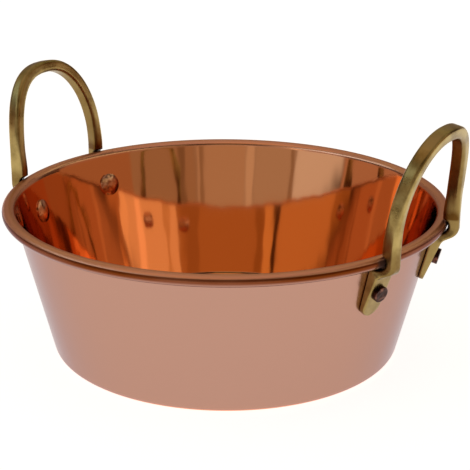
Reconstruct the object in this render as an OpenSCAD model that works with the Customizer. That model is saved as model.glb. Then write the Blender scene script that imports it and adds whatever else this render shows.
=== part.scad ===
// A copper jam pan: one spun bowl with a rim rolled over a wire, and two cast brass
// loop handles. Each handle has two flattened feet, and one copper rivet holds each foot.
// The origin is the middle of the base, on the surface that the pan stands on.
// +Z is up, and the handles stand at the two ends of the X axis.

/* [Pan] */
// Diameter over the rolled rim
rim_d = 300; // [260:1:380]
// Height from the base to the top of the rim
pan_h = 103; // [85:1:140]
// Diameter of the base, where its underside and the wall would meet without the corner radius
base_d = 235; // [190:1:262]
// Thickness of the copper sheet
sheet_t = 1.5; // [1.2:0.1:2]
// Outside radius of the corner between base and wall
corner_r = 6.5; // [3:0.5:14]

/* [Rolled rim] */
// Diameter of the wire inside the rim
wire_d = 4.2; // [3.6:0.1:6]
// Gap between the wire and the sheet rolled round it
wire_gap = 0.1; // [0.05:0.05:0.3]
// Distance that the curl stands out from the wall, so that the lip is wider than the curl
rim_stand = 1.4; // [0.4:0.1:1.7]
// Extra radius of the lip, where the wall turns over into the curl
lip_soft = 0.5; // [0.1:0.1:1.2]
// Gap left between the rim's rolled edge and the wall
seam_gap = 0.4; // [0.2:0.1:1]

/* [Handle loop] */
// Distance between the middles of the two legs, where they pass the rim
loop_w = 85; // [70:1:110]
// Height of the middle of the crown above the top of the rim
loop_h = 69.5; // [45:0.5:95]
// Fullness of the arch, 2 for an ellipse and more for squarer shoulders
loop_power = 2.4; // [2:0.05:3]
// Outward lean of the loop from upright, in degrees
loop_lean = 11; // [0:0.5:16]
// Greatest distance that the leaning loop is bowed in towards the pan
loop_bow = 2.2; // [0:0.1:3]
// Height above the rim at which the upright legs begin to lean
knee_h = 5; // [4:0.5:10]
// Thickness of the bar across the loop's plane
bar_t = 9.5; // [7:0.1:10]
// Width of the bar in the loop's plane, at the crown
crown_w = 8.2; // [6:0.1:10]
// Width of the bar in the loop's plane, where a leg passes the rim
leg_w = 7.6; // [7:0.1:12]
// Radius along the bar's four edges
bar_round = 2.3; // [1:0.1:2.8]
// Share of the loop's height over which the bar turns from facing the pan to facing along X
turn_share = 0.4; // [0.2:0.05:0.8]

/* [Handle roots] */
// Thickness of a leg just above the rim, where it is thickest
root_t = 10.8; // [9:0.1:12]
// Share of the loop's height over which the bar thickens to its roots
root_share = 0.25; // [0.1:0.05:0.5]
// Distance that a root reaches in over the rim
root_over = 2.9; // [1:0.1:4]
// Gap over and under the rolled rim, in the round notch that lets a leg pass it
notch_gap = 2.4; // [1.6:0.1:2.8]
// Gap beside the rolled rim, in the same notch
notch_side = 1.4; // [1:0.1:1.6]

/* [Handle feet] */
// Outside radius of the heel, where the leg turns in under the rim
heel_r = 7; // [4:0.5:8]
// Thickness of the heel under the middle of the notch
heel_t = 5.4; // [4.5:0.1:7]
// Slope of the heel's underside, in degrees
heel_slope = 24; // [10:1:30]
// Radius of the hollow between the heel and the flat of the foot
hollow_r = 4; // [2:0.1:5]
// Width of the foot at the rivet
foot_w = 14.5; // [12:0.5:20]
// Thickness of the foot at the rivet
foot_t = 5.6; // [4.5:0.1:6.4]
// Thickness of the foot at its lower end
toe_t = 3; // [2:0.1:4]
// Length of the foot below the rivet's middle
toe_l = 18.5; // [14:0.5:24]
// Radius along the foot's edges
foot_round = 1; // [0.5:0.1:1.4]
// Gap between the foot and the wall, on the foot's middle line
seat_gap = 0.1; // [0.05:0.05:0.3]

/* [Rivets] */
// Depth of a rivet's middle below the top of the rim
rivet_drop = 24; // [24:0.5:32]
// Diameter of the rivet's shank
shank_d = 5; // [4:0.1:6.5]
// Difference in diameter between a hole and the shank
hole_gap = 0.2; // [0.1:0.05:0.4]
// Diameter of the head outside the pan
outer_head_d = 10.6; // [9:0.1:13]
// Height of the head outside the pan
outer_head_h = 4; // [2:0.1:4.5]
// Diameter of the hammered head inside the pan
inner_head_d = 16; // [11:0.1:19]
// Height of the hammered head inside the pan
inner_head_h = 3; // [2:0.1:4.5]
// Height of the straight edge round the hammered head
head_edge = 0.8; // [0.4:0.1:1.4]
// Bevel round the outer head's face
head_bevel = 0.4; // [0.2:0.1:1]
// Gap round the outer head in the flat cut for it
face_gap = 0.4; // [0.2:0.1:0.6]
// Least depth of the flat cut for the outer head
face_cut = 0.2; // [0.1:0.1:0.5]

/* [Hidden] */

copper = "#c07a55";
brass = "#9c8648";
steel = "#8a8a88";

// Sampling of curves: degrees for each chord, sides of a turned piece, and chords on each
// of the bar's rounded edges
arc_step = 9;
turn_fn = 180;
edge_steps = 4;
ring_n = 4 * (edge_steps + 1);

// The rim: its wire, the sheet rolled round the wire, and the finished bead
curl_r = wire_d / 2 + wire_gap + sheet_t / 2;
bead_r = curl_r + sheet_t / 2;
wire_c = [rim_d / 2 - bead_r, pan_h - bead_r];

// The wall: its lean follows from the base and the rim
base_edge = [base_d / 2, 0];
wall_off = curl_r + rim_stand - sheet_t / 2;
to_wire = wire_c - base_edge;
wall_a = atan2(to_wire[1], to_wire[0]) + asin(wall_off / norm(to_wire));
wall_up = [cos(wall_a), sin(wall_a)];
wall_out = [sin(wall_a), -cos(wall_a)];

// The lip: a wider arc that leads from the wall into the curl
lip_r = curl_r + rim_stand / 2 + lip_soft;
lip_n = lip_r - curl_r - rim_stand;
lip_s = -sqrt(pow(lip_r - curl_r, 2) - pow(lip_n, 2));
lip_c = wire_c + lip_n * wall_out + lip_s * wall_up;
lip_end_a = atan2(wire_c[1] - lip_c[1], wire_c[0] - lip_c[0]);
curl_end_a = wall_a - 90 - acos(-(wall_off - seam_gap) / bead_r);

// The corner between base and wall
corner_x = base_edge[0] - corner_r * tan(wall_a / 2);
corner_c = [corner_x, corner_r];

// The rivets: the middle of each on the wall's outer face, and what it grips
rivet_z = pan_h - rivet_drop;
rivet_at = [base_edge[0] + rivet_z / tan(wall_a), rivet_z];
toe_slope = atan((foot_t - toe_t) / toe_l);
face_mid = seat_gap + foot_t;
head_seat = face_mid - (outer_head_d / 2 + face_gap) * tan(toe_slope) - face_cut;
inner_r = rivet_at[0] - sheet_t;
inner_sag = inner_r - sqrt(inner_r * inner_r - inner_head_d * inner_head_d / 4);

// The legs: their middles stand at leg_r from the pan's middle, at this angle either side of X
leg_in = rim_d / 2 - root_over;
leg_out = leg_in + root_t;
leg_r = (leg_in + leg_out) / 2;
foot_a = asin(loop_w / 2 / leg_r);

// The notch round the rim: it starts at the tip of the root, over the rim
notch_r = bead_r + notch_gap;
notch_c = wire_c - [notch_gap - notch_side, 0];
notch_a = acos((leg_in - notch_c[0]) / notch_r);
tip_z = notch_c[1] + notch_r * sin(notch_a);
shelf_top = notch_c[1] - notch_r;

// The corners of the foot's outline, seen from the side in the upright plane through the
// pan's middle. Directions are angles there, 0 outward and 90 up.
under_dir = heel_slope - 180;
face_dir = wall_a - toe_slope - 180;
under_at = [notch_c[0], shelf_top - heel_t];
heel_c = meet(under_at + heel_r * dir(under_dir - 90), under_dir, [leg_out - heel_r, 0], 90);
heel_end = heel_c + heel_r * dir(under_dir + 90);
hollow_corner = meet(heel_end, under_dir, on_wall(face_mid, 0), face_dir);
hollow_len = hollow_r * tan((face_dir - under_dir) / 2);
hollow_start = hollow_corner - hollow_len * dir(under_dir);
hollow_c = hollow_start + hollow_r * dir(under_dir + 90);
hollow_end = hollow_corner + hollow_len * dir(face_dir);
round_end = foot_w / 2 - toe_l;

function dir(a) = [cos(a), sin(a)];
function mix(a, b, t) = a + (b - a) * t;
function ease(t) = t * t * (3 - 2 * t);
function unit(v) = v / norm(v);

// Where the line through p in direction a meets the line through q in direction b
function meet(p, a, q, b) =
    let (gap = q - p, u = dir(a), v = dir(b))
    p + u * (gap[0] * v[1] - gap[1] * v[0]) / (u[0] * v[1] - u[1] * v[0]);

// A point given by its distances square to the wall and up it, from the rivet's middle
function on_wall(out, up) = rivet_at + out * wall_out + up * wall_up;

// Points along an arc, with both ends
function arc(c, r, from, to) =
    let (n = max(2, ceil(abs(to - from) / arc_step)))
    [for (i = [0 : n]) c + r * dir(mix(from, to, i / n))];

// The same number of points along a line or an arc, without the last
function line_steps(a, b, n) = [for (i = [0 : n - 1]) mix(a, b, i / n)];
function arc_steps(c, r, from, to, n) = [for (i = [0 : n - 1]) c + r * dir(mix(from, to, i / n))];

// The spun sheet: its outside from the base to the rim's rolled edge, and back inside
module sheet_outline() {
    up_a = wall_a + 90;
    outside = concat(
        [[0, 0]],
        arc(corner_c, corner_r, -90, wall_a - 90),
        arc(lip_c, lip_r - sheet_t / 2, up_a, lip_end_a),
        arc(wire_c, curl_r - sheet_t / 2, lip_end_a, curl_end_a));
    inside = concat(
        arc(wire_c, bead_r, curl_end_a, lip_end_a),
        arc(lip_c, lip_r + sheet_t / 2, lip_end_a, up_a),
        arc(corner_c, corner_r - sheet_t, wall_a - 90, -90),
        [[0, sheet_t]]);
    polygon(concat(outside, inside));
}

// Puts a child made along +X at a rivet, with +X square to the wall's outer face
module at_rivet(side) {
    rotate([0, 0, side * foot_a])
        translate([rivet_at[0], 0, rivet_at[1]])
            rotate([0, 90 - wall_a, 0])
                children();
}

// A round hole or pocket along a rivet, between two distances from the wall's outer face
module rivet_cut(side, from, to, d) {
    at_rivet(side)
        translate([from, 0, 0])
            rotate([0, 90, 0])
                cylinder(h = to - from, d = d, $fn = 48);
}

module pan_body() {
    color(copper)
    difference() {
        rotate_extrude($fn = turn_fn) sheet_outline();
        for (end = [0, 180], side = [-1, 1])
            rotate([0, 0, end])
                rivet_cut(side, -3 * sheet_t, 2 * sheet_t, shank_d + hole_gap);
    }
}

module rim_wire() {
    color(steel)
    rotate_extrude($fn = turn_fn)
        translate(wire_c) circle(d = wire_d, $fn = 48);
}

// The foot from the side, as pairs of points on its inner and outer face, from the knee
// to the toe: down to the tip, round the notch and the heel, in under the rim, and down the wall
tip_steps = 1;
side_steps = 4;
turn_steps = 5;
under_steps = 3;
shelf_steps = 2;
seat_steps = 3;
face_steps = 4;
toe_steps = 6;
hollow_steps = shelf_steps + seat_steps;
turn_end_a = -60;
shelf_up = (shelf_top - rivet_z - seat_gap * wall_out[1]) / wall_up[1];
hollow_up = (hollow_end - rivet_at) * wall_up;
function toe_up(i) = round_end - foot_w / 2 * sin(80 * i / toe_steps);
function face_out(up) = face_mid + up * tan(toe_slope);

foot_inner = concat(
    line_steps([leg_in, pan_h + knee_h], [leg_in, tip_z], tip_steps),
    arc_steps(notch_c, notch_r, notch_a, 0, side_steps),
    arc_steps(notch_c, notch_r, 0, turn_end_a, turn_steps),
    arc_steps(notch_c, notch_r, turn_end_a, -90, under_steps),
    line_steps([notch_c[0], shelf_top], on_wall(seat_gap, shelf_up), shelf_steps),
    line_steps(on_wall(seat_gap, shelf_up), on_wall(seat_gap, hollow_up), seat_steps),
    line_steps(on_wall(seat_gap, hollow_up), on_wall(seat_gap, round_end), face_steps),
    [for (i = [0 : toe_steps]) on_wall(seat_gap, toe_up(i))]);
foot_outer = concat(
    line_steps([leg_out, pan_h + knee_h], [leg_out, tip_z], tip_steps),
    line_steps([leg_out, tip_z], heel_c + [heel_r, 0], side_steps),
    arc_steps(heel_c, heel_r, 0, under_dir + 90, turn_steps),
    line_steps(heel_end, hollow_start, under_steps),
    arc_steps(hollow_c, hollow_r, under_dir - 90, face_dir - 90, hollow_steps),
    line_steps(hollow_end, on_wall(face_out(round_end), round_end), face_steps),
    [for (i = [0 : toe_steps]) on_wall(face_out(toe_up(i)), toe_up(i))]);

// The foot's width grows from the leg's, past the rim, to its own at the rivet, and the toe is round
leg_n = tip_steps + side_steps;
spread_n = leg_n + turn_steps + under_steps + hollow_steps;
round_n = spread_n + face_steps;
function spread(i) = ease(min(1, max(0, (i - leg_n) / (spread_n - leg_n))));
function foot_width(i) =
    i < round_n ? mix(leg_w, foot_w, spread(i)) : foot_w * cos(80 * (i - round_n) / toe_steps);

// One ring of the bar round its middle, a rectangle with round corners, from half its
// thickness and half its width
function ring(mid, thick, wide, round) =
    let (r = min(round, 0.8 * norm(thick), 0.8 * norm(wide)),
         t = thick - r * unit(thick), w = wide - r * unit(wide))
    [for (k = [0 : 3], i = [0 : edge_steps])
        let (a = 90 * (k + i / edge_steps), c = k == 0 || k == 3 ? 1 : -1, d = k < 2 ? 1 : -1)
        mid + c * t + d * w + r * (cos(a) * unit(thick) + sin(a) * unit(wide))];

// The rings of the foot on one side, 1 for +Y, from the knee to the toe
function foot_rings(side) =
    let (a = side * foot_a, r = [cos(a), sin(a), 0], t = side * [-sin(a), cos(a), 0])
    [for (i = [0 : len(foot_inner) - 1])
        let (p = foot_inner[i], q = foot_outer[i], m = (p + q) / 2, h = (q - p) / 2)
        ring(m[0] * r + [0, 0, m[1]], h[0] * r + [0, 0, h[1]], foot_width(i) / 2 * t,
             mix(bar_round, foot_round, spread(i)))];

// The arch, from the -Y knee over the crown: its middle line is a fuller ellipse in a leaning
// and slightly bowed sheet. Near the knees the bar thickens, and turns to face the pan's middle.
arch_steps = 40;
arch_h = (loop_h - knee_h) / cos(loop_lean);
knee_x = leg_r * cos(foot_a);
lean_up = [sin(loop_lean), 0, cos(loop_lean)];
lean_out = [cos(loop_lean), 0, -sin(loop_lean)];
function arch_side(t) = -sign(cos(t)) * loop_w / 2 * pow(abs(cos(t)), 2 / loop_power);
function arch_up(t) = arch_h * pow(sin(t), 2 / loop_power);
function arch_in(u) = 4 * loop_bow * u * (1 - u);
function arch_at(t) =
    [knee_x - arch_in(arch_up(t) / arch_h), arch_side(t), pan_h + knee_h] + arch_up(t) * lean_up;
function arch_ring(i) =
    let (t = 180 * i / arch_steps, u = arch_up(t) / arch_h, side = i < arch_steps / 2 ? -1 : 1,
         thick = mix(root_t, bar_t, ease(min(1, u / root_share))),
         turn = 1 - ease(min(1, u / turn_share)),
         along = unit(arch_at(min(180, t + 1)) - arch_at(max(0, t - 1))),
         facing = mix(lean_out, [cos(foot_a), side * sin(foot_a), 0], turn),
         out = unit(facing - (facing * along) * along),
         wide = cross(out, along))
    ring(arch_at(t), thick / 2 * out, mix(leg_w, crown_w, ease(u)) / 2 * wide, bar_round);

// A solid skin over a list of rings, with a flat cap at each end
module skin(rings) {
    n = len(rings);
    points = [for (r = rings) each r];
    sides = [for (i = [0 : n - 2], k = [0 : ring_n - 1])
        let (a = i * ring_n + k, b = i * ring_n + (k + 1) % ring_n)
        each [[a, b, b + ring_n], [a, b + ring_n, a + ring_n]]];
    first = [for (k = [ring_n - 1 : -1 : 0]) k];
    last = [for (k = [0 : ring_n - 1]) (n - 1) * ring_n + k];
    polyhedron(points, concat([first, last], sides), convexity = 6);
}

function reverse(v) = [for (i = [len(v) - 1 : -1 : 0]) v[i]];

// The cast handle at +X: toe, heel, leg, crown and back down, drilled and faced for its rivets
module handle() {
    difference() {
        skin(concat(
            reverse(foot_rings(-1)),
            [for (i = [1 : arch_steps - 1]) arch_ring(i)],
            foot_rings(1)));
        for (side = [-1, 1]) {
            rivet_cut(side, -foot_t, 3 * foot_t, shank_d + hole_gap);
            rivet_cut(side, head_seat, 3 * foot_t, outer_head_d + 2 * face_gap);
        }
    }
}

// A rivet, made along +Z from its hammered head inside the pan to its head outside
module rivet() {
    low = -sheet_t - inner_sag;
    dome_h = inner_head_h - head_edge;
    dome_r = (inner_head_d * inner_head_d / 4 + dome_h * dome_h) / (2 * dome_h);
    half_a = asin(inner_head_d / 2 / dome_r);
    dome_c = [0, low - inner_head_h + dome_r];
    rotate_extrude($fn = 64)
        polygon(concat(
            arc(dome_c, dome_r, -90, -90 + half_a),
            [[inner_head_d / 2, low], [shank_d / 2, low], [shank_d / 2, head_seat],
             [outer_head_d / 2, head_seat], [outer_head_d / 2, head_seat + outer_head_h - head_bevel],
             [outer_head_d / 2 - head_bevel, head_seat + outer_head_h], [0, head_seat + outer_head_h]]));
}

module rivet_in_place(end, side) {
    color(copper)
    rotate([0, 0, end])
        at_rivet(side)
            rotate([0, 90, 0])
                rivet();
}

module handle_right() {
    color(brass) handle();
}

module handle_left() {
    color(brass) rotate([0, 0, 180]) handle();
}

pan_body();
rim_wire();
handle_left();
handle_right();
rivet_in_place(180, 1);  // rivet_left_front
rivet_in_place(180, -1);  // rivet_left_back
rivet_in_place(0, -1);  // rivet_right_front
rivet_in_place(0, 1);  // rivet_right_back
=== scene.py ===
"""A copper jam pan with a rolled, wired rim and two riveted brass loop handles.

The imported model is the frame. Each visible piece is built here around it, in metres, with +Z up
and the handles at the two ends of the X axis. Sizes that the frame doesn't give are in millimetres.
"""

import logging
import math
from dataclasses import dataclass, field
from enum import Enum
from typing import Callable, Sequence

import bmesh
import bpy
from mathutils import Matrix, Vector


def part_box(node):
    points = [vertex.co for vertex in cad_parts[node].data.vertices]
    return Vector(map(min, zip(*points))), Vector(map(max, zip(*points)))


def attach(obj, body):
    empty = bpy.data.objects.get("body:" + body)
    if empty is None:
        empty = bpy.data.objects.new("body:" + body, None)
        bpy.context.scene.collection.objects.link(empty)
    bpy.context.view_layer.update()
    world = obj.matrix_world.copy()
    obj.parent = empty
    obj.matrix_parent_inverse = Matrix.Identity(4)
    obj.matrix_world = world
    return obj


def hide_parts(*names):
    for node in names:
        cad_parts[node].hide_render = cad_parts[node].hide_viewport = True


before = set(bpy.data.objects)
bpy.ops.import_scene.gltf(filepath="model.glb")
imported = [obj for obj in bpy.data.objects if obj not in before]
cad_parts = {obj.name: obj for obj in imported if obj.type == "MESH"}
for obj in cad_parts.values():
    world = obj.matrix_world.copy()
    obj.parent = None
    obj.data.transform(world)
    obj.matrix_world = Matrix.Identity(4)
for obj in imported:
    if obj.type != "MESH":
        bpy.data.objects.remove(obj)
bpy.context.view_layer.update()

log = logging.getLogger("jam_pan")

MM = 0.001
BODY = "root"

Point = tuple[float, float]


def polar(angle: float, length: float = 1.0) -> Vector:
    """A plane vector of a length at an angle in degrees, 0 outward and 90 up."""
    return Vector((length * math.cos(math.radians(angle)), length * math.sin(math.radians(angle))))


def mix(a: float, b: float, share: float) -> float:
    """The value between a and b at a share from 0 to 1; vectors work too."""
    return a + (b - a) * share


def ease(share: float) -> float:
    """A share from 0 to 1, held inside that range, with a soft start and end."""
    held = min(1.0, max(0.0, share))
    return held * held * (3 - 2 * held)


def meet(p: Vector, a: float, q: Vector, b: float) -> Vector:
    """Where the line through p at angle a crosses the line through q at angle b.

    Args:
        p: A point on the first line.
        a: The first line's angle, in degrees.
        q: A point on the second line.
        b: The second line's angle, in degrees.

    Returns:
        The crossing point.
    """
    gap, u, v = q - p, polar(a), polar(b)
    return p + u * (gap.cross(v) / u.cross(v))


def arc(centre: Vector, radius: float, start: float, end: float, steps: int) -> list[Vector]:
    """Points along an arc in the plane.

    Args:
        centre: Middle of the arc.
        radius: Radius of the arc.
        start: Angle of the first point, in degrees.
        end: Angle of the last point, in degrees.
        steps: Number of chords.

    Returns:
        The points, with both ends.
    """
    return [centre + polar(mix(start, end, i / steps), radius) for i in range(steps + 1)]


def straight(start: Vector, end: Vector, steps: int, guard: float = 0.0) -> list[Vector]:
    """Points between two ends, without the ends, with a guard point near each.

    Args:
        start: Point before the first.
        end: Point after the last.
        steps: Number of chords between the guard points.
        guard: Distance from each end to its guard point, which keeps shading flat between them.

    Returns:
        The points from the first guard to the last.
    """
    along = (end - start).normalized()
    first, last = start + along * guard, end - along * guard
    return [first.lerp(last, i / steps) for i in range(steps + 1)]


@dataclass(frozen=True)
class PanSizes:
    """Sizes of the whole pan in millimetres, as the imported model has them."""

    rim_r: float
    pan_h: float
    base_r: float = 117.5
    sheet_t: float = 1.5
    corner_r: float = 6.5
    wire_d: float = 4.2
    wire_gap: float = 0.1
    rim_stand: float = 1.4
    lip_soft: float = 0.5
    seam_gap: float = 0.4
    rivet_drop: float = 24.0

    @property
    def curl_r(self) -> float:
        """Radius of the rolled sheet's middle line."""
        return self.wire_d / 2 + self.wire_gap + self.sheet_t / 2

    @property
    def bead_r(self) -> float:
        """Outside radius of the rolled rim's section."""
        return self.curl_r + self.sheet_t / 2

    @property
    def wire_c(self) -> Vector:
        """Middle of the wire, as radius and height."""
        return Vector((self.rim_r - self.bead_r, self.pan_h - self.bead_r))

    @property
    def wall_off(self) -> float:
        """Distance from the wire's middle to the wall's outer face."""
        return self.curl_r + self.rim_stand - self.sheet_t / 2

    @property
    def wall_a(self) -> float:
        """Angle of the wall above the horizontal, in degrees."""
        reach = self.wire_c - Vector((self.base_r, 0))
        return math.degrees(math.atan2(reach.y, reach.x) + math.asin(self.wall_off / reach.length))

    @property
    def rivet_at(self) -> Vector:
        """Middle of a rivet on the wall's outer face, as radius and height."""
        height = self.pan_h - self.rivet_drop
        return Vector((self.base_r + height / math.tan(math.radians(self.wall_a)), height))

    def on_wall(self, out: float, up: float) -> Vector:
        """A point given by its distances square to the wall and up it, from the rivet's middle."""
        return self.rivet_at + polar(self.wall_a - 90, out) + polar(self.wall_a, up)


@dataclass(frozen=True)
class HandleSizes:
    """Sizes of one handle in millimetres and degrees.

    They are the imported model's, apart from the loop's height, which is 0.15 mm less because the
    packed crown has coarser facets, and the gap round the rim, which is drawn as tight as it looks.
    """

    pan: PanSizes
    loop_w: float = 85.0
    loop_h: float = 69.35
    loop_power: float = 2.4
    loop_lean: float = 11.0
    loop_bow: float = 2.2
    knee_h: float = 5.0
    bar_t: float = 9.5
    crown_w: float = 8.2
    leg_w: float = 7.6
    bar_round: float = 2.3
    turn_share: float = 0.4
    root_t: float = 10.8
    root_share: float = 0.25
    root_over: float = 2.9
    notch_gap: float = 1.3
    notch_side: float = 0.5
    heel_r: float = 7.0
    heel_t: float = 6.0
    heel_slope: float = 24.0
    hollow_r: float = 4.0
    foot_w: float = 14.5
    foot_t: float = 5.6
    foot_round: float = 1.0
    toe_t: float = 3.0
    toe_l: float = 18.5
    seat_gap: float = 0.1

    @property
    def leg_in(self) -> float:
        """Radius of a leg's inner face."""
        return self.pan.rim_r - self.root_over

    @property
    def leg_out(self) -> float:
        """Radius of a leg's outer face."""
        return self.leg_in + self.root_t

    @property
    def leg_r(self) -> float:
        """Radius of a leg's middle."""
        return (self.leg_in + self.leg_out) / 2

    @property
    def foot_a(self) -> float:
        """Angle of each foot from the X axis."""
        return math.degrees(math.asin(self.loop_w / 2 / self.leg_r))

    @property
    def toe_slope(self) -> float:
        """Angle between the foot's outer face and the wall."""
        return math.degrees(math.atan((self.foot_t - self.toe_t) / self.toe_l))

    @property
    def face_mid(self) -> float:
        """Distance of the foot's outer face from the wall, at the rivet's middle."""
        return self.seat_gap + self.foot_t


class Wave:
    """A shader socket that Python arithmetic builds on."""

    def __init__(self, recipe: "Recipe", socket: bpy.types.NodeSocket) -> None:
        """Wraps a socket of a recipe's node tree."""
        self.recipe = recipe
        self.socket = socket

    def _math(self, operation: str, *values: "Wave | float") -> "Wave":
        """A Math node's result."""
        return self.recipe.node("ShaderNodeMath", {"operation": operation}, dict(enumerate(values)))

    def __add__(self, other: "Wave | float") -> "Wave":
        """Sum."""
        return self._math("ADD", self, other)

    def __radd__(self, other: float) -> "Wave":
        """Sum with a number first."""
        return self._math("ADD", other, self)

    def __sub__(self, other: "Wave | float") -> "Wave":
        """Difference."""
        return self._math("SUBTRACT", self, other)

    def __rsub__(self, other: float) -> "Wave":
        """Difference with a number first."""
        return self._math("SUBTRACT", other, self)

    def __mul__(self, other: "Wave | float") -> "Wave":
        """Product."""
        return self._math("MULTIPLY", self, other)

    def __rmul__(self, other: float) -> "Wave":
        """Product with a number first."""
        return self._math("MULTIPLY", other, self)

    def __truediv__(self, other: "Wave | float") -> "Wave":
        """Quotient."""
        return self._math("DIVIDE", self, other)

    def power(self, exponent: float) -> "Wave":
        """Power."""
        return self._math("POWER", self, exponent)

    def larger(self, other: "Wave | float") -> "Wave":
        """The larger of two."""
        return self._math("MAXIMUM", self, other)

    def between(self, low: float, high: float) -> "Wave":
        """0 below low, 1 above high, and smooth between them."""
        settings = {"interpolation_type": "SMOOTHSTEP"}
        return self.recipe.node("ShaderNodeMapRange", settings, {"Value": self, "From Min": low, "From Max": high})


class Recipe:
    """Builds the node tree of one material, or of the world."""

    def __init__(self, owner: "bpy.types.Material | bpy.types.World") -> None:
        """Starts an empty tree in a material or a world."""
        self.owner = owner
        owner.use_nodes = True
        self.tree = owner.node_tree
        self.tree.nodes.clear()

    def node(self, kind: str, settings: dict, values: dict, output: "int | str | None" = 0) -> "Wave | None":
        """Makes a node.

        Args:
            kind: The node's type.
            settings: Its own settings, set first; stops is a ramp's list of places and colours.
            values: What goes into its sockets, by name or number: a Wave or a plain value.
            output: The socket to return, or None for a node without one.

        Returns:
            The wrapped output socket, if there is one.
        """
        made = self.tree.nodes.new(kind)
        for key, value in settings.items():
            if key == "stops":
                ramp = made.color_ramp
                while len(ramp.elements) < len(value):
                    ramp.elements.new(0.5)
                for element, (place, colour) in zip(ramp.elements, value):
                    element.position = place
                    element.color = (*colour, 1.0)
            else:
                setattr(made, key, value)
        for key, value in values.items():
            if isinstance(value, Wave):
                self.tree.links.new(value.socket, made.inputs[key])
            else:
                made.inputs[key].default_value = value
        return None if output is None else Wave(self, made.outputs[output])

    def place(self) -> Wave:
        """The point on the piece, in metres in the shared frame."""
        return self.node("ShaderNodeTexCoord", {}, {}, "Object")

    def part(self, vector: Wave, axis: str) -> Wave:
        """One of a vector's three parts, X, Y or Z."""
        return self.node("ShaderNodeSeparateXYZ", {}, {0: vector}, axis)

    def past_wall(self, place: Wave, sizes: PanSizes, out: float) -> Wave:
        """How far a point is from the pan's axis past its wall.

        Args:
            place: The point, in metres.
            sizes: The pan's sizes.
            out: Distance of the level to measure from, outward from the wall's outer face, in mm.

        Returns:
            The distance in metres, less than 0 inside that level.
        """
        x, y, z = (self.part(place, axis) for axis in "XYZ")
        slope, lean = math.tan(math.radians(sizes.wall_a)), math.sin(math.radians(sizes.wall_a))
        return (x * x + y * y).power(0.5) - z / slope - (sizes.base_r + out / lean) * MM

    def noise(self, vector: Wave, scale: float, detail: float = 2.0, rough: float = 0.5) -> Wave:
        """Smooth noise about 0.5 over a vector."""
        values = {"Vector": vector, "Scale": scale, "Detail": detail, "Roughness": rough}
        return self.node("ShaderNodeTexNoise", {}, values, "Fac")

    def stretched(self, vector: Wave, scale: Sequence[float]) -> Wave:
        """A vector with its three parts multiplied."""
        return self.node("ShaderNodeVectorMath", {"operation": "MULTIPLY"}, {0: vector, 1: scale})

    def blend(self, share: Wave, low: "Wave | Sequence[float]", high: "Wave | Sequence[float]") -> Wave:
        """The colour between two at a share from 0 to 1."""
        low = low if isinstance(low, Wave) else (*low, 1.0)
        high = high if isinstance(high, Wave) else (*high, 1.0)
        return self.node("ShaderNodeMix", {"data_type": "RGBA"}, {0: share, 6: low, 7: high}, 2)

    def bump(self, height: Wave, strength: float, distance: float) -> Wave:
        """A normal that height raises by up to distance, in metres."""
        values = {"Height": height, "Strength": strength, "Distance": distance}
        return self.node("ShaderNodeBump", {}, values)

    def finish(self, **values: "Wave | float | Sequence[float]") -> bpy.types.Material:
        """Joins the values to a Principled shader and returns the material."""
        named = {key.replace("_", " ").title(): value for key, value in values.items()}
        shader = self.node("ShaderNodeBsdfPrincipled", {}, named)
        self.node("ShaderNodeOutputMaterial", {}, {"Surface": shader}, None)
        return self.owner


@dataclass(frozen=True)
class CopperFinish:
    """Polished copper sheet, brighter inside the pan than outside."""

    name: str = "polished_copper"
    inside: tuple[float, float, float] = (0.92, 0.42, 0.19)
    outside: tuple[float, float, float] = (0.485, 0.270, 0.200)
    # painted shade: near black copper for the dark band along the rim's lower half and just under it
    under_bead_shade: tuple[float, float, float] = (0.18, 0.038, 0.006)
    bead: tuple[float, float, float] = (0.95, 0.46, 0.28)
    # painted shade: near black for the notch gaps where the legs pass the rim
    notch_shade: tuple[float, float, float] = (0.04, 0.015, 0.008)
    rough_in: float = 0.06
    rough_out: float = 0.2
    rough_bead: float = 0.22
    edge: tuple[float, float, float] = (0.74, 0.74, 0.80)

    def make(self, handle: HandleSizes) -> bpy.types.Material:
        """The material for the pan's sheet.

        Args:
            handle: The handles' sizes and with them the pan's, which place the sheet's inside,
            its rim, the painted shade under the rim and the painted shade beside the legs.

        Returns:
            The material.
        """
        r = Recipe(bpy.data.materials.new(self.name))
        sizes = handle.pan
        place = r.place()
        outer = r.past_wall(place, sizes, -sizes.sheet_t / 2).between(-0.0002, 0.0002)
        streaks = r.noise(r.stretched(place, (38.0, 38.0, 9.0)), 1.0, 2.0)
        cloud = r.noise(place, 14.0, 3.0)
        drop = sizes.pan_h * MM - r.part(place, "Z")
        bead = 1 - drop.between(0.0024, 0.0045)
        # painted shade and dark reflection: a dark band from the bead's lower half to a few mm down the wall, outside
        # only
        under_bead_shade = outer * drop.between(0.0014, 0.0021) * (1 - drop.between(0.0040, 0.0060) * 0.75)
        under_bead_shade = under_bead_shade * (1 - drop.between(0.0060, 0.0085))
        colour = r.blend(bead, r.blend(outer, self.inside, self.outside), self.bead)
        colour = r.blend(under_bead_shade * (0.7 + cloud * 0.5), colour, self.under_bead_shade)
        # painted shade on the rim and wall beside each leg, in the notch gap, where the copper is also less metallic
        # and rougher
        across = (r.part(place, "X") * r.part(place, "X")).power(0.5).between(0.100, 0.110)
        beside = (r.part(place, "Y") * r.part(place, "Y")).power(0.5) - handle.loop_w / 2 * MM
        notch_shade = across * (1 - (beside * beside).power(0.5).between(0.0050, 0.0085))
        notch_shade = notch_shade * drop.between(0.0005, 0.0020) * (1 - drop.between(0.0080, 0.0120)) * outer
        colour = r.blend(notch_shade * 0.92, colour, self.notch_shade)
        rough = outer * (self.rough_out - self.rough_in) + self.rough_in + (cloud - 0.5) * 0.04
        rough = rough + bead * (self.rough_bead - self.rough_in)
        normal = r.bump(streaks, 0.5, 0.0006)
        return r.finish(base_color=colour, metallic=1 - notch_shade, roughness=rough + notch_shade * 0.75, normal=normal,
                        specular_tint=(*self.edge, 1.0))


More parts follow.
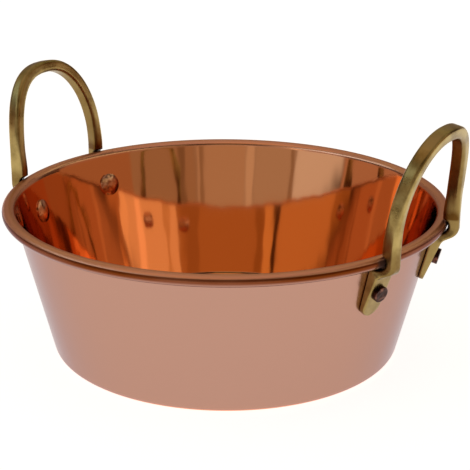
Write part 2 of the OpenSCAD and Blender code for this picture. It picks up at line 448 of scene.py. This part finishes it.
@dataclass(frozen=True)
class BrassFinish:
    """Satin cast brass, with painted shade inside the loop, at its roots, on its feet and in the notch round the rim.
    """

    name: str = "cast_brass"
    light: tuple[float, float, float] = (0.48, 0.355, 0.13)
    dark: tuple[float, float, float] = (0.26, 0.175, 0.055)
    # painted shade: dark brown for the loop's inner faces, its roots and its feet
    loop_shade: tuple[float, float, float] = (0.13, 0.06, 0.012)
    # painted shade: near black for the notch where each leg passes the rim
    notch_shade: tuple[float, float, float] = (0.03, 0.015, 0.008)
    rough: float = 0.3

    def make(self, sizes: HandleSizes) -> bpy.types.Material:
        """The material for the handles.

        Args:
            sizes: The handles' sizes, which place the painted shade.

        Returns:
            The material.
        """
        r = Recipe(bpy.data.materials.new(self.name))
        place, pan = r.place(), sizes.pan
        x, y, z = (r.part(place, axis) for axis in "XYZ")
        cloud = r.noise(place, 60.0, 4.0, 0.6)
        grain = r.noise(place, 900.0, 2.0)
        rise = z - pan.pan_h * MM
        climb = (rise * (1 / sizes.loop_h / MM)).larger(0.0).power(sizes.loop_power)
        width = ((y * y).power(0.5) * (2 / sizes.loop_w / MM)).power(sizes.loop_power)
        # masks for the painted shade: inside the loop, at the roots by the rim, and on the feet
        inside = (1 - (climb + width).between(0.82, 1.02)) * rise.between(0.0, 0.002)
        root = rise.between(-0.014, -0.006) * (1 - rise.between(0.001, 0.010))
        foot = 1 - rise.between(-0.014, -0.006)
        reach = (x * x + y * y).power(0.5) - pan.wire_c.x * MM
        lift = z - pan.wire_c.y * MM
        notch = 1 - (reach * reach + lift * lift).power(0.5).between((pan.bead_r + sizes.notch_gap) * MM,
                                                                     (pan.bead_r + sizes.notch_gap + 1.2) * MM)
        # painted shade, strongest inside the loop, less at the roots and least on the feet, varied by the cloud
        loop_shade_share = (inside * 0.62 + root * 0.5 + foot * 0.35) * (0.75 + cloud * 0.5)
        colour = r.blend(cloud.between(0.3, 0.6), self.dark, self.light)
        # painted shade in the notch round the rim
        colour = r.blend(notch * 0.9, r.blend(loop_shade_share, colour, self.loop_shade), self.notch_shade)
        rough = (cloud - 0.5) * 0.2 + self.rough
        normal = r.bump(grain + cloud * 2.0, 0.2, 0.0003)
        return r.finish(base_color=colour, metallic=1.0, roughness=rough, normal=normal)


@dataclass(frozen=True)
class RivetFinish:
    """Hammered copper, bright inside the pan, and outside dark with age and painted shade."""

    name: str = "hammered_copper"
    light: tuple[float, float, float] = (0.88, 0.46, 0.30)
    dark: tuple[float, float, float] = (0.50, 0.20, 0.10)
    # outer heads: dark with age and painted shade, with lighter patches by noise
    aged_shaded_light: tuple[float, float, float] = (0.22, 0.09, 0.06)
    aged_shaded_dark: tuple[float, float, float] = (0.035, 0.012, 0.008)

    def make(self, sizes: PanSizes) -> bpy.types.Material:
        """The material for the rivets.

        Args:
            sizes: The pan's sizes, which tell the heads inside it from those outside.

        Returns:
            The material.
        """
        r = Recipe(bpy.data.materials.new(self.name))
        place = r.place()
        outer = r.past_wall(place, sizes, 1.0).between(0.0, 0.0004)
        cloud = r.noise(place, 300.0, 3.0)
        bright = r.blend(cloud.between(0.25, 0.55), self.dark, self.light)
        # outer heads: age and painted shade in one dark colour
        aged_and_shaded = r.blend(cloud.between(0.48, 0.75), self.aged_shaded_dark, self.aged_shaded_light)
        normal = r.bump(r.noise(place, 330.0, 0.0), 0.5, 0.0006)
        return r.finish(base_color=r.blend(outer, bright, aged_and_shaded), metallic=1.0,
                        roughness=(cloud - 0.5) * 0.2 + 0.22, normal=normal)


@dataclass(frozen=True)
class WireFinish:
    """Plain drawn steel wire, with faint lines along it."""

    name: str = "drawn_steel"
    light: tuple[float, float, float] = (0.55, 0.55, 0.54)
    dark: tuple[float, float, float] = (0.40, 0.40, 0.40)

    def make(self) -> bpy.types.Material:
        """The material for the wire in the rim."""
        r = Recipe(bpy.data.materials.new(self.name))
        lines = r.noise(r.stretched(r.place(), (40.0, 40.0, 2500.0)), 1.0)
        colour = r.blend(lines, self.dark, self.light)
        return r.finish(base_color=colour, metallic=1.0, roughness=lines * 0.2 + 0.3)


@dataclass(frozen=True)
class FloorFinish:
    """A pale matt floor, lit from below like a light table, with a very faint mottle."""

    name: str = "pale_floor"
    light: tuple[float, float, float] = (0.66, 0.68, 0.70)
    dark: tuple[float, float, float] = (0.64, 0.66, 0.68)
    glow: float = 0.86

    def make(self) -> bpy.types.Material:
        """The material for the floor."""
        r = Recipe(bpy.data.materials.new(self.name))
        colour = r.blend(r.noise(r.place(), 6.0), self.dark, self.light)
        white = (1.0, 1.0, 1.0, 1.0)
        return r.finish(base_color=colour, roughness=0.9, emission_color=white, emission_strength=self.glow)


@dataclass(frozen=True)
class Panel:
    """A soft panel of the studio, as the pan sees it: its place and size in degrees, and its light."""

    turn: float
    spread: float
    low: float
    high: float
    light: tuple[float, float, float]


@dataclass(frozen=True)
class Room:
    """The studio round the pan: dark walls with soft panels, turned with the camera."""

    name: str = "studio_room"
    dark: tuple[float, float, float] = (0.05, 0.03, 0.02)
    backdrop: tuple[float, float, float] = (0.95, 0.95, 0.95)
    soft: float = 1.2
    panels: tuple[Panel, ...] = (
        Panel(0, 180, 54, 90, (0.42, 0.32, 0.27)),
        Panel(185, 55, -5, 27, (0.24, 0.18, 0.14)),
        Panel(315, 60, 54, 75, (0.55, 0.38, 0.24)),
        Panel(184, 58, 28, 50, (0.42, 0.36, 0.23)),
        Panel(140, 4, 28, 50, (0.30, 0.24, 0.12)),
        Panel(129, 5, 28, 50, (0.66, 0.66, 0.45)),
        Panel(226, 10, 28, 50, (0.33, 0.27, 0.16)),
        Panel(279, 37, 28, 41, (0.82, 1.00, 1.15)),
        Panel(256, 3, 28, 41, (0.62, 0.68, 0.62)),
        Panel(292, 4, 28, 41, (1.10, 1.35, 1.70)),
        Panel(311, 4, 28, 41, (0.95, 1.15, 1.30)),
        Panel(295, 46, 41, 54, (0.24, 0.20, 0.15)),
        Panel(325, 9, 28, 41, (0.45, 0.36, 0.26)),
        Panel(81, 36, 28, 41, (0.56, 0.52, 0.36)),
        Panel(37, 9, 28, 41, (0.36, 0.30, 0.16)),
        Panel(0, 10, 28, 41, (0.22, 0.18, 0.10)),
        Panel(84, 26, -3, 27, (0.34, 0.17, 0.09)),
        Panel(40, 20, 7, 27, (0.32, 0.22, 0.15)),
        Panel(5, 15, 7, 27, (0.42, 0.32, 0.25)),
        Panel(347, 3, 7, 27, (0.52, 0.44, 0.38)),
        Panel(333, 11, 7, 27, (0.40, 0.33, 0.28)),
        Panel(305, 16, 7, 14, (0.60, 0.60, 0.64)),
        Panel(305, 16, 14, 27, (0.36, 0.25, 0.18)),
        Panel(320, 3, 14, 27, (0.95, 0.82, 0.62)),
        Panel(268, 21, -3, 14, (0.40, 0.24, 0.17)),
        Panel(28, 1, 7, 27, (0.20, 0.13, 0.08)),
        Panel(16, 1, 7, 27, (0.27, 0.19, 0.13)),
        Panel(321, 1, 7, 13, (0.26, 0.19, 0.14)),
    )

    def make(self, azimuth: float) -> bpy.types.World:
        """The world that lights the scene.

        Args:
            azimuth: The camera's turn about Z, in degrees.

        Returns:
            The world.
        """
        r = Recipe(bpy.data.worlds.new(self.name))
        place = r.node("ShaderNodeTexCoord", {}, {}, "Generated")
        x, y, z = (r.part(place, axis) for axis in "XYZ")
        level = (x * x + y * y).power(0.5)
        colour = self.dark
        for panel in self.panels:
            facing = polar(azimuth - 90 + panel.turn)
            across = (x * facing.x + y * facing.y) / level
            share = z.between(self.sine(panel.low - self.soft), self.sine(panel.low + self.soft))
            if panel.high < 90:
                share = share * (1 - z.between(self.sine(panel.high - self.soft), self.sine(panel.high + self.soft)))
            if panel.spread < 180:
                edge = self.cosine(panel.spread + self.soft), self.cosine(max(0.0, panel.spread - self.soft))
                share = share * across.between(*edge)
            colour = r.blend(share, colour, panel.light)
        seen = r.node("ShaderNodeLightPath", {}, {}, "Is Camera Ray")
        light = r.node("ShaderNodeBackground", {}, {"Color": r.blend(seen, colour, self.backdrop)})
        r.node("ShaderNodeOutputWorld", {}, {"Surface": light}, None)
        return r.owner

    def cosine(self, angle: float) -> float:
        """The cosine of an angle in degrees."""
        return math.cos(math.radians(angle))

    def sine(self, angle: float) -> float:
        """The sine of an angle in degrees."""
        return math.sin(math.radians(angle))


def piece_from(bm: bmesh.types.BMesh, name: str, material: bpy.types.Material, sharp: float = 40.0) -> bpy.types.Object:
    """Makes a smooth-shaded object from a bmesh.

    Args:
        bm: The finished shape, in metres, which is freed.
        name: Name of the piece.
        material: Its material.
        sharp: Angle in degrees past which an edge stays sharp.

    Returns:
        The object, at the origin.
    """
    mesh = bpy.data.meshes.new(name)
    bm.to_mesh(mesh)
    bm.free()
    mesh.materials.append(material)
    mesh.shade_smooth()
    mesh.set_sharp_from_angle(angle=math.radians(sharp))
    made = bpy.data.objects.new(name, mesh)
    bpy.context.scene.collection.objects.link(made)
    return made


def lathe(outline: Sequence[Vector], steps: int) -> bmesh.types.BMesh:
    """Turns an outline round the Z axis.

    Args:
        outline: Points as radius and height in millimetres, both ends on the axis or a closed loop.
        steps: Number of steps round.

    Returns:
        The closed shape, in metres, with its faces outwards.
    """
    bm = bmesh.new()
    verts = [bm.verts.new((p.x * MM, 0, p.y * MM)) for p in outline]
    for a, b in zip(verts, verts[1:]):
        bm.edges.new((a, b))
    bmesh.ops.spin(bm, geom=bm.verts[:] + bm.edges[:], cent=(0, 0, 0), axis=(0, 0, 1),
                   dvec=(0, 0, 0), angle=math.tau, steps=steps, use_merge=True)
    bmesh.ops.remove_doubles(bm, verts=bm.verts[:], dist=1e-6)
    bmesh.ops.recalc_face_normals(bm, faces=bm.faces[:])
    return bm


def seat(piece: bpy.types.Object, node: str) -> None:
    """Rides a piece on the pan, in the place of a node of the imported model."""
    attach(piece, BODY)
    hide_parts(node)
    log.info("%s: %d faces", piece.name, len(piece.data.polygons))


@dataclass
class PanShell:
    """The spun copper sheet: flat base, round corner, tapered wall and rolled rim."""

    sizes: PanSizes
    material: bpy.types.Material
    turns: int = 288

    def outline(self) -> list[Vector]:
        """The sheet's section, from the middle of the base outside round to the middle inside."""
        s = self.sizes
        lip_r = s.curl_r + s.rim_stand / 2 + s.lip_soft
        lip_n = lip_r - s.curl_r - s.rim_stand
        lip_s = -math.sqrt((lip_r - s.curl_r) ** 2 - lip_n ** 2)
        lip_c = s.wire_c + polar(s.wall_a - 90, lip_n) + polar(s.wall_a, lip_s)
        to_wire = s.wire_c - lip_c
        lip_end = math.degrees(math.atan2(to_wire.y, to_wire.x))
        curl_end = s.wall_a - 90 - math.degrees(math.acos(-(s.wall_off - s.seam_gap) / s.bead_r))
        corner_c = Vector((s.base_r - s.corner_r * math.tan(math.radians(s.wall_a / 2)), s.corner_r))
        up, half = s.wall_a + 90, s.sheet_t / 2

        corner_out = arc(corner_c, s.corner_r, -90, s.wall_a - 90, 12)
        corner_in = arc(corner_c, s.corner_r - s.sheet_t, s.wall_a - 90, -90, 12)
        lip_in_face = arc(lip_c, lip_r - half, up, lip_end, 8)
        lip_top = arc(lip_c, lip_r + half, lip_end, up, 16)
        curl_in_face = arc(s.wire_c, s.curl_r - half, lip_end, curl_end, 28)
        bead = arc(s.wire_c, s.bead_r, curl_end, lip_end, 56)
        return (
            [Vector((0, 0)), Vector((corner_out[0].x - 2, 0))] + corner_out
            + straight(corner_out[-1], lip_in_face[0], 20, 0.8) + lip_in_face + curl_in_face[1:]
            + bead + lip_top[1:]
            + straight(lip_top[-1], corner_in[0], 20, 0.8) + corner_in
            + [Vector((corner_in[-1].x - 2, s.sheet_t)), Vector((0, s.sheet_t))]
        )

    def build(self) -> bpy.types.Object:
        """Builds the sheet and seats it."""
        bm = lathe(self.outline(), self.turns)
        piece = piece_from(bm, "copper_pan", self.material)
        seat(piece, "pan_body")
        return piece


class Side(Enum):
    """The two ends of the X axis, with the turn that brings a right-hand piece there."""

    RIGHT = 0
    LEFT = 180

    @property
    def turn(self) -> Matrix:
        """The turn about Z."""
        return Matrix.Rotation(math.radians(self.value), 4, "Z")


@dataclass
class FootProfile:
    """The foot and leg from the side, in the upright plane through the pan's middle."""

    sizes: HandleSizes
    tip_n: int = 4
    side_n: int = 10
    turn_n: int = 16
    under_n: int = 8
    shelf_n: int = 6
    seat_n: int = 8
    face_n: int = 12
    toe_n: int = 18
    turn_end: float = -60.0
    toe_end: float = 88.0

    def walk(self, start: Vector, end: Vector, steps: int) -> list[Vector]:
        """Points from one place towards another, without the last."""
        return [start.lerp(end, i / steps) for i in range(steps)]

    def seat_at(self, up: float) -> Vector:
        """The point of the foot's inner face at a height up the wall from the rivet."""
        return self.sizes.pan.on_wall(self.sizes.seat_gap, up)

    def face_at(self, up: float) -> Vector:
        """The point of the foot's outer face at a height up the wall from the rivet."""
        s = self.sizes
        return s.pan.on_wall(s.face_mid + up * math.tan(math.radians(s.toe_slope)), up)

    def pairs(self) -> list[tuple[Vector, Vector, float]]:
        """The foot's two faces, from the knee to the toe.

        Returns:
            The points of the inner and the outer face with the foot's width there.
        """
        s, pan = self.sizes, self.sizes.pan
        notch_c = pan.wire_c - Vector((s.notch_gap - s.notch_side, 0))
        notch_r = pan.bead_r + s.notch_gap
        notch_a = math.degrees(math.acos((s.leg_in - notch_c.x) / notch_r))
        tip_z = notch_c.y + notch_r * math.sin(math.radians(notch_a))
        shelf_top = notch_c.y - notch_r
        under, face = s.heel_slope - 180, pan.wall_a - s.toe_slope - 180
        below = Vector((notch_c.x, shelf_top - s.heel_t)) + polar(under - 90, s.heel_r)
        heel_c = meet(below, under, Vector((s.leg_out - s.heel_r, 0)), 90)
        heel_end = heel_c + polar(under + 90, s.heel_r)
        corner = meet(heel_end, under, pan.on_wall(s.face_mid, 0), face)
        back = s.hollow_r * math.tan(math.radians((face - under) / 2))
        hollow_start, hollow_end = corner - polar(under, back), corner + polar(face, back)
        hollow_c = hollow_start + polar(under + 90, s.hollow_r)
        round_end = s.foot_w / 2 - s.toe_l
        toe = [math.radians(self.toe_end * i / self.toe_n) for i in range(self.toe_n + 1)]
        toe_ups = [round_end - s.foot_w / 2 * math.sin(a) for a in toe]
        wall_up = polar(pan.wall_a)
        shelf_up = (shelf_top - pan.rivet_at.y - s.seat_gap * polar(pan.wall_a - 90).y) / wall_up.y
        hollow_up = (hollow_end - pan.rivet_at).dot(wall_up)
        inner = (
            self.walk(Vector((s.leg_in, pan.pan_h + s.knee_h)), Vector((s.leg_in, tip_z)), self.tip_n)
            + arc(notch_c, notch_r, notch_a, 0, self.side_n)[:-1]
            + arc(notch_c, notch_r, 0, self.turn_end, self.turn_n)[:-1]
            + arc(notch_c, notch_r, self.turn_end, -90, self.under_n)[:-1]
            + self.walk(Vector((notch_c.x, shelf_top)), self.seat_at(shelf_up), self.shelf_n)
            + self.walk(self.seat_at(shelf_up), self.seat_at(hollow_up), self.seat_n)
            + self.walk(self.seat_at(hollow_up), self.seat_at(round_end), self.face_n)
            + [self.seat_at(up) for up in toe_ups]
        )
        outer = (
            self.walk(Vector((s.leg_out, pan.pan_h + s.knee_h)), Vector((s.leg_out, tip_z)), self.tip_n)
            + self.walk(Vector((s.leg_out, tip_z)), heel_c + Vector((s.heel_r, 0)), self.side_n)
            + arc(heel_c, s.heel_r, 0, under + 90, self.turn_n)[:-1]
            + self.walk(heel_end, hollow_start, self.under_n)
            + arc(hollow_c, s.hollow_r, under - 90, face - 90, self.shelf_n + self.seat_n)[:-1]
            + self.walk(hollow_end, self.face_at(round_end), self.face_n)
            + [self.face_at(up) for up in toe_ups]
        )
        leg_n = self.tip_n + self.side_n
        spread_n = leg_n + self.turn_n + self.under_n + self.shelf_n + self.seat_n
        round_n = spread_n + self.face_n
        widths = [mix(s.leg_w, s.foot_w, ease((i - leg_n) / (spread_n - leg_n))) for i in range(round_n)]
        widths += [s.foot_w * math.cos(a) for a in toe]
        return list(zip(inner, outer, widths))


@dataclass
class LoopHandle:
    """A cast brass loop whose two roots pass the rim in a notch and end in flattened feet."""

    sizes: HandleSizes
    side: Side
    material: bpy.types.Material
    arch_steps: int = 160
    edge_steps: int = 5
    flat_steps: int = 3

    def section(self, middle: Vector, thick: Vector, wide: Vector, radius: float) -> list[Vector]:
        """The bar's section, a rectangle with round corners and guard points on its flats.

        Args:
            middle: Middle of the section.
            thick: Half its thickness, as a vector.
            wide: Half its width, as a vector.
            radius: Radius of its corners.

        Returns:
            The points round it, in millimetres.
        """
        r = min(radius, 0.8 * thick.length, 0.8 * wide.length)
        t_dir, w_dir = thick.normalized(), wide.normalized()
        t, w = thick - t_dir * r, wide - w_dir * r
        points = []
        for k, (c, d) in enumerate(((1, 1), (-1, 1), (-1, -1), (1, -1))):
            for i in range(self.edge_steps + 1):
                turn = polar(90 * (k + i / self.edge_steps), r)
                points.append(middle + t * c + w * d + t_dir * turn.x + w_dir * turn.y)
        run = self.edge_steps + 1
        flats = self.flat_steps + 1
        return [
            points[i].lerp(points[(i + 1) % len(points)], j / flats)
            for i in range(len(points))
            for j in range(flats if i % run == run - 1 else 1)
        ]

    def foot_sections(self, end: int) -> list[list[Vector]]:
        """The sections of one foot, from the knee to the toe.

        Args:
            end: 1 for the foot at +Y, -1 for the other.

        Returns:
            The sections in order.
        """
        s = self.sizes
        a = math.radians(end * s.foot_a)
        radial = Vector((math.cos(a), math.sin(a), 0))
        across = Vector((-math.sin(a), math.cos(a), 0)) * end
        rise = Vector((0, 0, 1))
        made = []
        for inner, outer, width in FootProfile(s).pairs():
            m, h = (inner + outer) / 2, (outer - inner) / 2
            flat = ease((width - s.leg_w) / (s.foot_w - s.leg_w)) if m.y > s.pan.rivet_at.y else 1.0
            made.append(self.section(radial * m.x + rise * m.y, radial * h.x + rise * h.y,
                                     across * (width / 2), mix(s.bar_round, s.foot_round, flat)))
        return made

    def middle(self, turn: float) -> Vector:
        """The middle of the arch at a turn from 0 at the -Y knee to pi at the other.

        Args:
            turn: How far round the arch, in radians.

        Returns:
            The point, in millimetres.
        """
        s = self.sizes
        lean, foot = math.radians(s.loop_lean), math.radians(s.foot_a)
        climb = self.climb(turn)
        sideways = -math.copysign(s.loop_w / 2 * abs(math.cos(turn)) ** (2 / s.loop_power), math.cos(turn))
        start = Vector((s.leg_r * math.cos(foot) - 4 * s.loop_bow * climb * (1 - climb), sideways, s.pan.pan_h + s.knee_h))
        return start + Vector((math.tan(lean), 0, 1)) * ((s.loop_h - s.knee_h) * climb)

    def climb(self, turn: float) -> float:
        """The share of the arch's height that its middle has reached at a turn."""
        return max(0.0, math.sin(turn)) ** (2 / self.sizes.loop_power)

    def arch_section(self, share: float) -> list[Vector]:
        """The section of the arch at a share of its way, from the -Y knee to the +Y knee.

        Args:
            share: How far round the arch, from 0 to 1.

        Returns:
            The points round it, in millimetres.
        """
        s = self.sizes
        lean, foot = math.radians(s.loop_lean), math.radians(s.foot_a)
        turn, nudge = math.pi * share, math.radians(1.0)
        along = (self.middle(min(math.pi, turn + nudge)) - self.middle(max(0.0, turn - nudge))).normalized()
        climb = self.climb(turn)
        end = -1 if share < 0.5 else 1
        facing = Vector((math.cos(lean), 0, -math.sin(lean))).lerp(
            Vector((math.cos(foot), end * math.sin(foot), 0)), 1 - ease(climb / s.turn_share))
        out = (facing - along * facing.dot(along)).normalized()
        half_t = mix(s.root_t, s.bar_t, ease(climb / s.root_share)) / 2
        half_w = mix(s.leg_w, s.crown_w, ease(climb)) / 2
        return self.section(self.middle(turn), out * half_t, out.cross(along) * half_w, s.bar_round)

    def build(self) -> bpy.types.Object:
        """Lofts the handle through its sections and seats it."""
        sections = (
            self.foot_sections(-1)[::-1]
            + [self.arch_section(i / self.arch_steps) for i in range(1, self.arch_steps)]
            + self.foot_sections(1)
        )
        bm = bmesh.new()
        rings = []
        for points in sections:
            verts = [bm.verts.new(p * MM) for p in points]
            rings.append([bm.edges.new((a, b)) for a, b in zip(verts, verts[1:] + verts[:1])])
        for a, b in zip(rings, rings[1:]):
            bmesh.ops.bridge_loops(bm, edges=a + b)
        for ring in (rings[0], rings[-1]):
            bmesh.ops.contextual_create(bm, geom=ring)
        bmesh.ops.recalc_face_normals(bm, faces=bm.faces[:])
        bmesh.ops.transform(bm, matrix=self.side.turn, verts=bm.verts[:])
        name = f"{self.side.name.lower()}_handle"
        piece = piece_from(bm, name, self.material)
        seat(piece, f"handle_{self.side.name.lower()}")
        return piece


@dataclass
class Rivet:
    """A copper rivet: a hammered dome inside the pan and a flat head on the handle's foot."""

    sizes: HandleSizes
    side: Side
    end: int
    material: bpy.types.Material
    shank_d: float = 5.0
    outer_head_d: float = 10.6
    outer_head_h: float = 4.0
    inner_head_d: float = 16.0
    inner_head_h: float = 3.0
    head_edge: float = 0.8
    head_bevel: float = 0.4
    face_gap: float = 0.4
    face_cut: float = 0.2

    def outline(self) -> list[Vector]:
        """The rivet's section, as radius and height from the wall's outer face."""
        s, pan = self.sizes, self.sizes.pan
        inner_r = pan.rivet_at.x - pan.sheet_t
        sag = inner_r - math.sqrt(inner_r ** 2 - self.inner_head_d ** 2 / 4)
        low = -pan.sheet_t - sag
        slope = math.tan(math.radians(s.toe_slope))
        head_seat = s.face_mid - (self.outer_head_d / 2 + self.face_gap) * slope - self.face_cut
        dome_h = self.inner_head_h - self.head_edge
        dome_r = (self.inner_head_d ** 2 / 4 + dome_h ** 2) / (2 * dome_h)
        half = math.degrees(math.asin(self.inner_head_d / 2 / dome_r))
        dome = arc(Vector((0, low - self.inner_head_h + dome_r)), dome_r, -90, -90 + half, 14)
        rim, top, bevel = self.outer_head_d / 2, head_seat + self.outer_head_h, self.head_bevel
        return (
            dome + [Vector((self.inner_head_d / 2, low)), Vector((self.shank_d / 2, low)),
                    Vector((self.shank_d / 2, head_seat)), Vector((rim, head_seat))]
            + arc(Vector((rim - bevel, top - bevel)), bevel, 0, 90, 5)
            + [Vector((rim - bevel - 0.3, top)), Vector((0, top))]
        )

    def build(self) -> bpy.types.Object:
        """Builds the rivet and seats it."""
        pan = self.sizes.pan
        bm = lathe(self.outline(), 64)
        place = (
            self.side.turn
            @ Matrix.Rotation(math.radians(self.end * self.sizes.foot_a), 4, "Z")
            @ Matrix.Translation(Vector((pan.rivet_at.x, 0, pan.rivet_at.y)) * MM)
            @ Matrix.Rotation(math.radians(90 - pan.wall_a), 4, "Y")
            @ Matrix.Rotation(math.radians(90), 4, "Y")
        )
        bmesh.ops.transform(bm, matrix=place, verts=bm.verts[:])
        across = self.end if self.side is Side.RIGHT else -self.end
        where = f"{self.side.name.lower()}_{'back' if across > 0 else 'front'}"
        piece = piece_from(bm, f"{where}_rivet", self.material, 30.0)
        seat(piece, f"rivet_{where}")
        return piece


@dataclass
class RimWire:
    """The steel wire inside the rolled rim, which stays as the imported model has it."""

    finish: WireFinish = field(default_factory=WireFinish)

    def dress(self) -> None:
        """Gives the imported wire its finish."""
        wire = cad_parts["rim_wire"]
        wire.data.materials.clear()
        wire.data.materials.append(self.finish.make())
        log.info("rim_wire: kept from the frame")


@dataclass
class Studio:
    """The floor, the light and the camera."""

    sizes: PanSizes
    azimuth: float = 32.3
    elevation: float = 19.496
    roll: float = -0.612
    focal_px: float = 1390.35
    aim: tuple[float, float] = (0.115, -0.1753)
    distance: float = 6.2652
    centre_px: tuple[float, float] = (251.68, 236.51)
    image_px: float = 470.0
    sensor_mm: float = 36.0

    def camera(self) -> bpy.types.Object:
        """Makes the camera at the photograph's viewpoint; its lengths are in rim radii."""
        e, rho = math.radians(self.elevation), math.radians(self.roll)
        right, up = Vector((1, 0, 0)), Vector((0, math.sin(e), math.cos(e)))
        back = Vector((0, -math.cos(e), math.sin(e)))
        spot = right * self.aim[0] + up * self.aim[1] + back * self.distance
        rolled_right = right * math.cos(rho) - up * math.sin(rho)
        rolled_up = right * math.sin(rho) + up * math.cos(rho)
        turn = Matrix.Rotation(math.radians(self.azimuth), 3, "Z")
        axes = (turn @ Matrix((rolled_right, rolled_up, back)).transposed()).to_4x4()
        top = Vector((0, 0, self.sizes.pan_h * MM))
        data = bpy.data.cameras.new("photo_camera")
        data.sensor_width = self.sensor_mm
        data.lens = self.focal_px * self.sensor_mm / self.image_px
        data.shift_x = (self.image_px / 2 - self.centre_px[0]) / self.image_px
        data.shift_y = (self.centre_px[1] - self.image_px / 2) / self.image_px
        made = bpy.data.objects.new("photo_camera", data)
        made.matrix_world = Matrix.Translation(turn @ spot * self.sizes.rim_r * MM + top) @ axes
        bpy.context.scene.collection.objects.link(made)
        bpy.context.scene.camera = made
        return made

    def floor(self) -> bpy.types.Object:
        """Makes the floor."""
        bm = bmesh.new()
        bmesh.ops.create_circle(bm, cap_ends=True, segments=96, radius=6.0)
        floor = piece_from(bm, "floor", FloorFinish().make())
        return floor

    def lamp(self, name: str, place: Sequence[float], size: Sequence[float], power: float) -> bpy.types.Object:
        """Makes a soft box that faces the pan.

        Args:
            name: Name of the lamp.
            place: Where it stands, in metres.
            size: Its width and height, in metres.
            power: Its power, in watts.

        Returns:
            The lamp.
        """
        data = bpy.data.lights.new(name, "AREA")
        data.shape = "RECTANGLE"
        data.size, data.size_y = size
        data.energy = power
        made = bpy.data.objects.new(name, data)
        aim = Vector((0, 0, 0.06)) - Vector(place)
        made.matrix_world = Matrix.Translation(place) @ aim.to_track_quat("-Z", "Y").to_matrix().to_4x4()
        bpy.context.scene.collection.objects.link(made)
        return made

    def light(self) -> None:
        """Makes the room's light."""
        bpy.context.scene.world = Room().make(self.azimuth)
        bpy.context.scene.view_settings.view_transform = "Standard"


def main() -> None:
    """Builds the pan, its handles and rivets, and the studio."""
    logging.basicConfig(level=logging.INFO, format="%(name)s %(message)s")
    low, high = (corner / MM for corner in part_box("pan_body"))
    sizes = PanSizes(rim_r=(high.x - low.x) / 2, pan_h=high.z)
    studio = Studio(sizes)
    studio.camera()
    handle = HandleSizes(sizes)
    PanShell(sizes, CopperFinish().make(handle)).build()
    RimWire().dress()
    brass = BrassFinish().make(handle)
    copper = RivetFinish().make(sizes)
    for side in Side:
        LoopHandle(handle, side, brass).build()
        for end in (-1, 1):
            Rivet(handle, side, end, copper).build()
    studio.floor()
    studio.light()


if __name__ == "__main__":
    main()
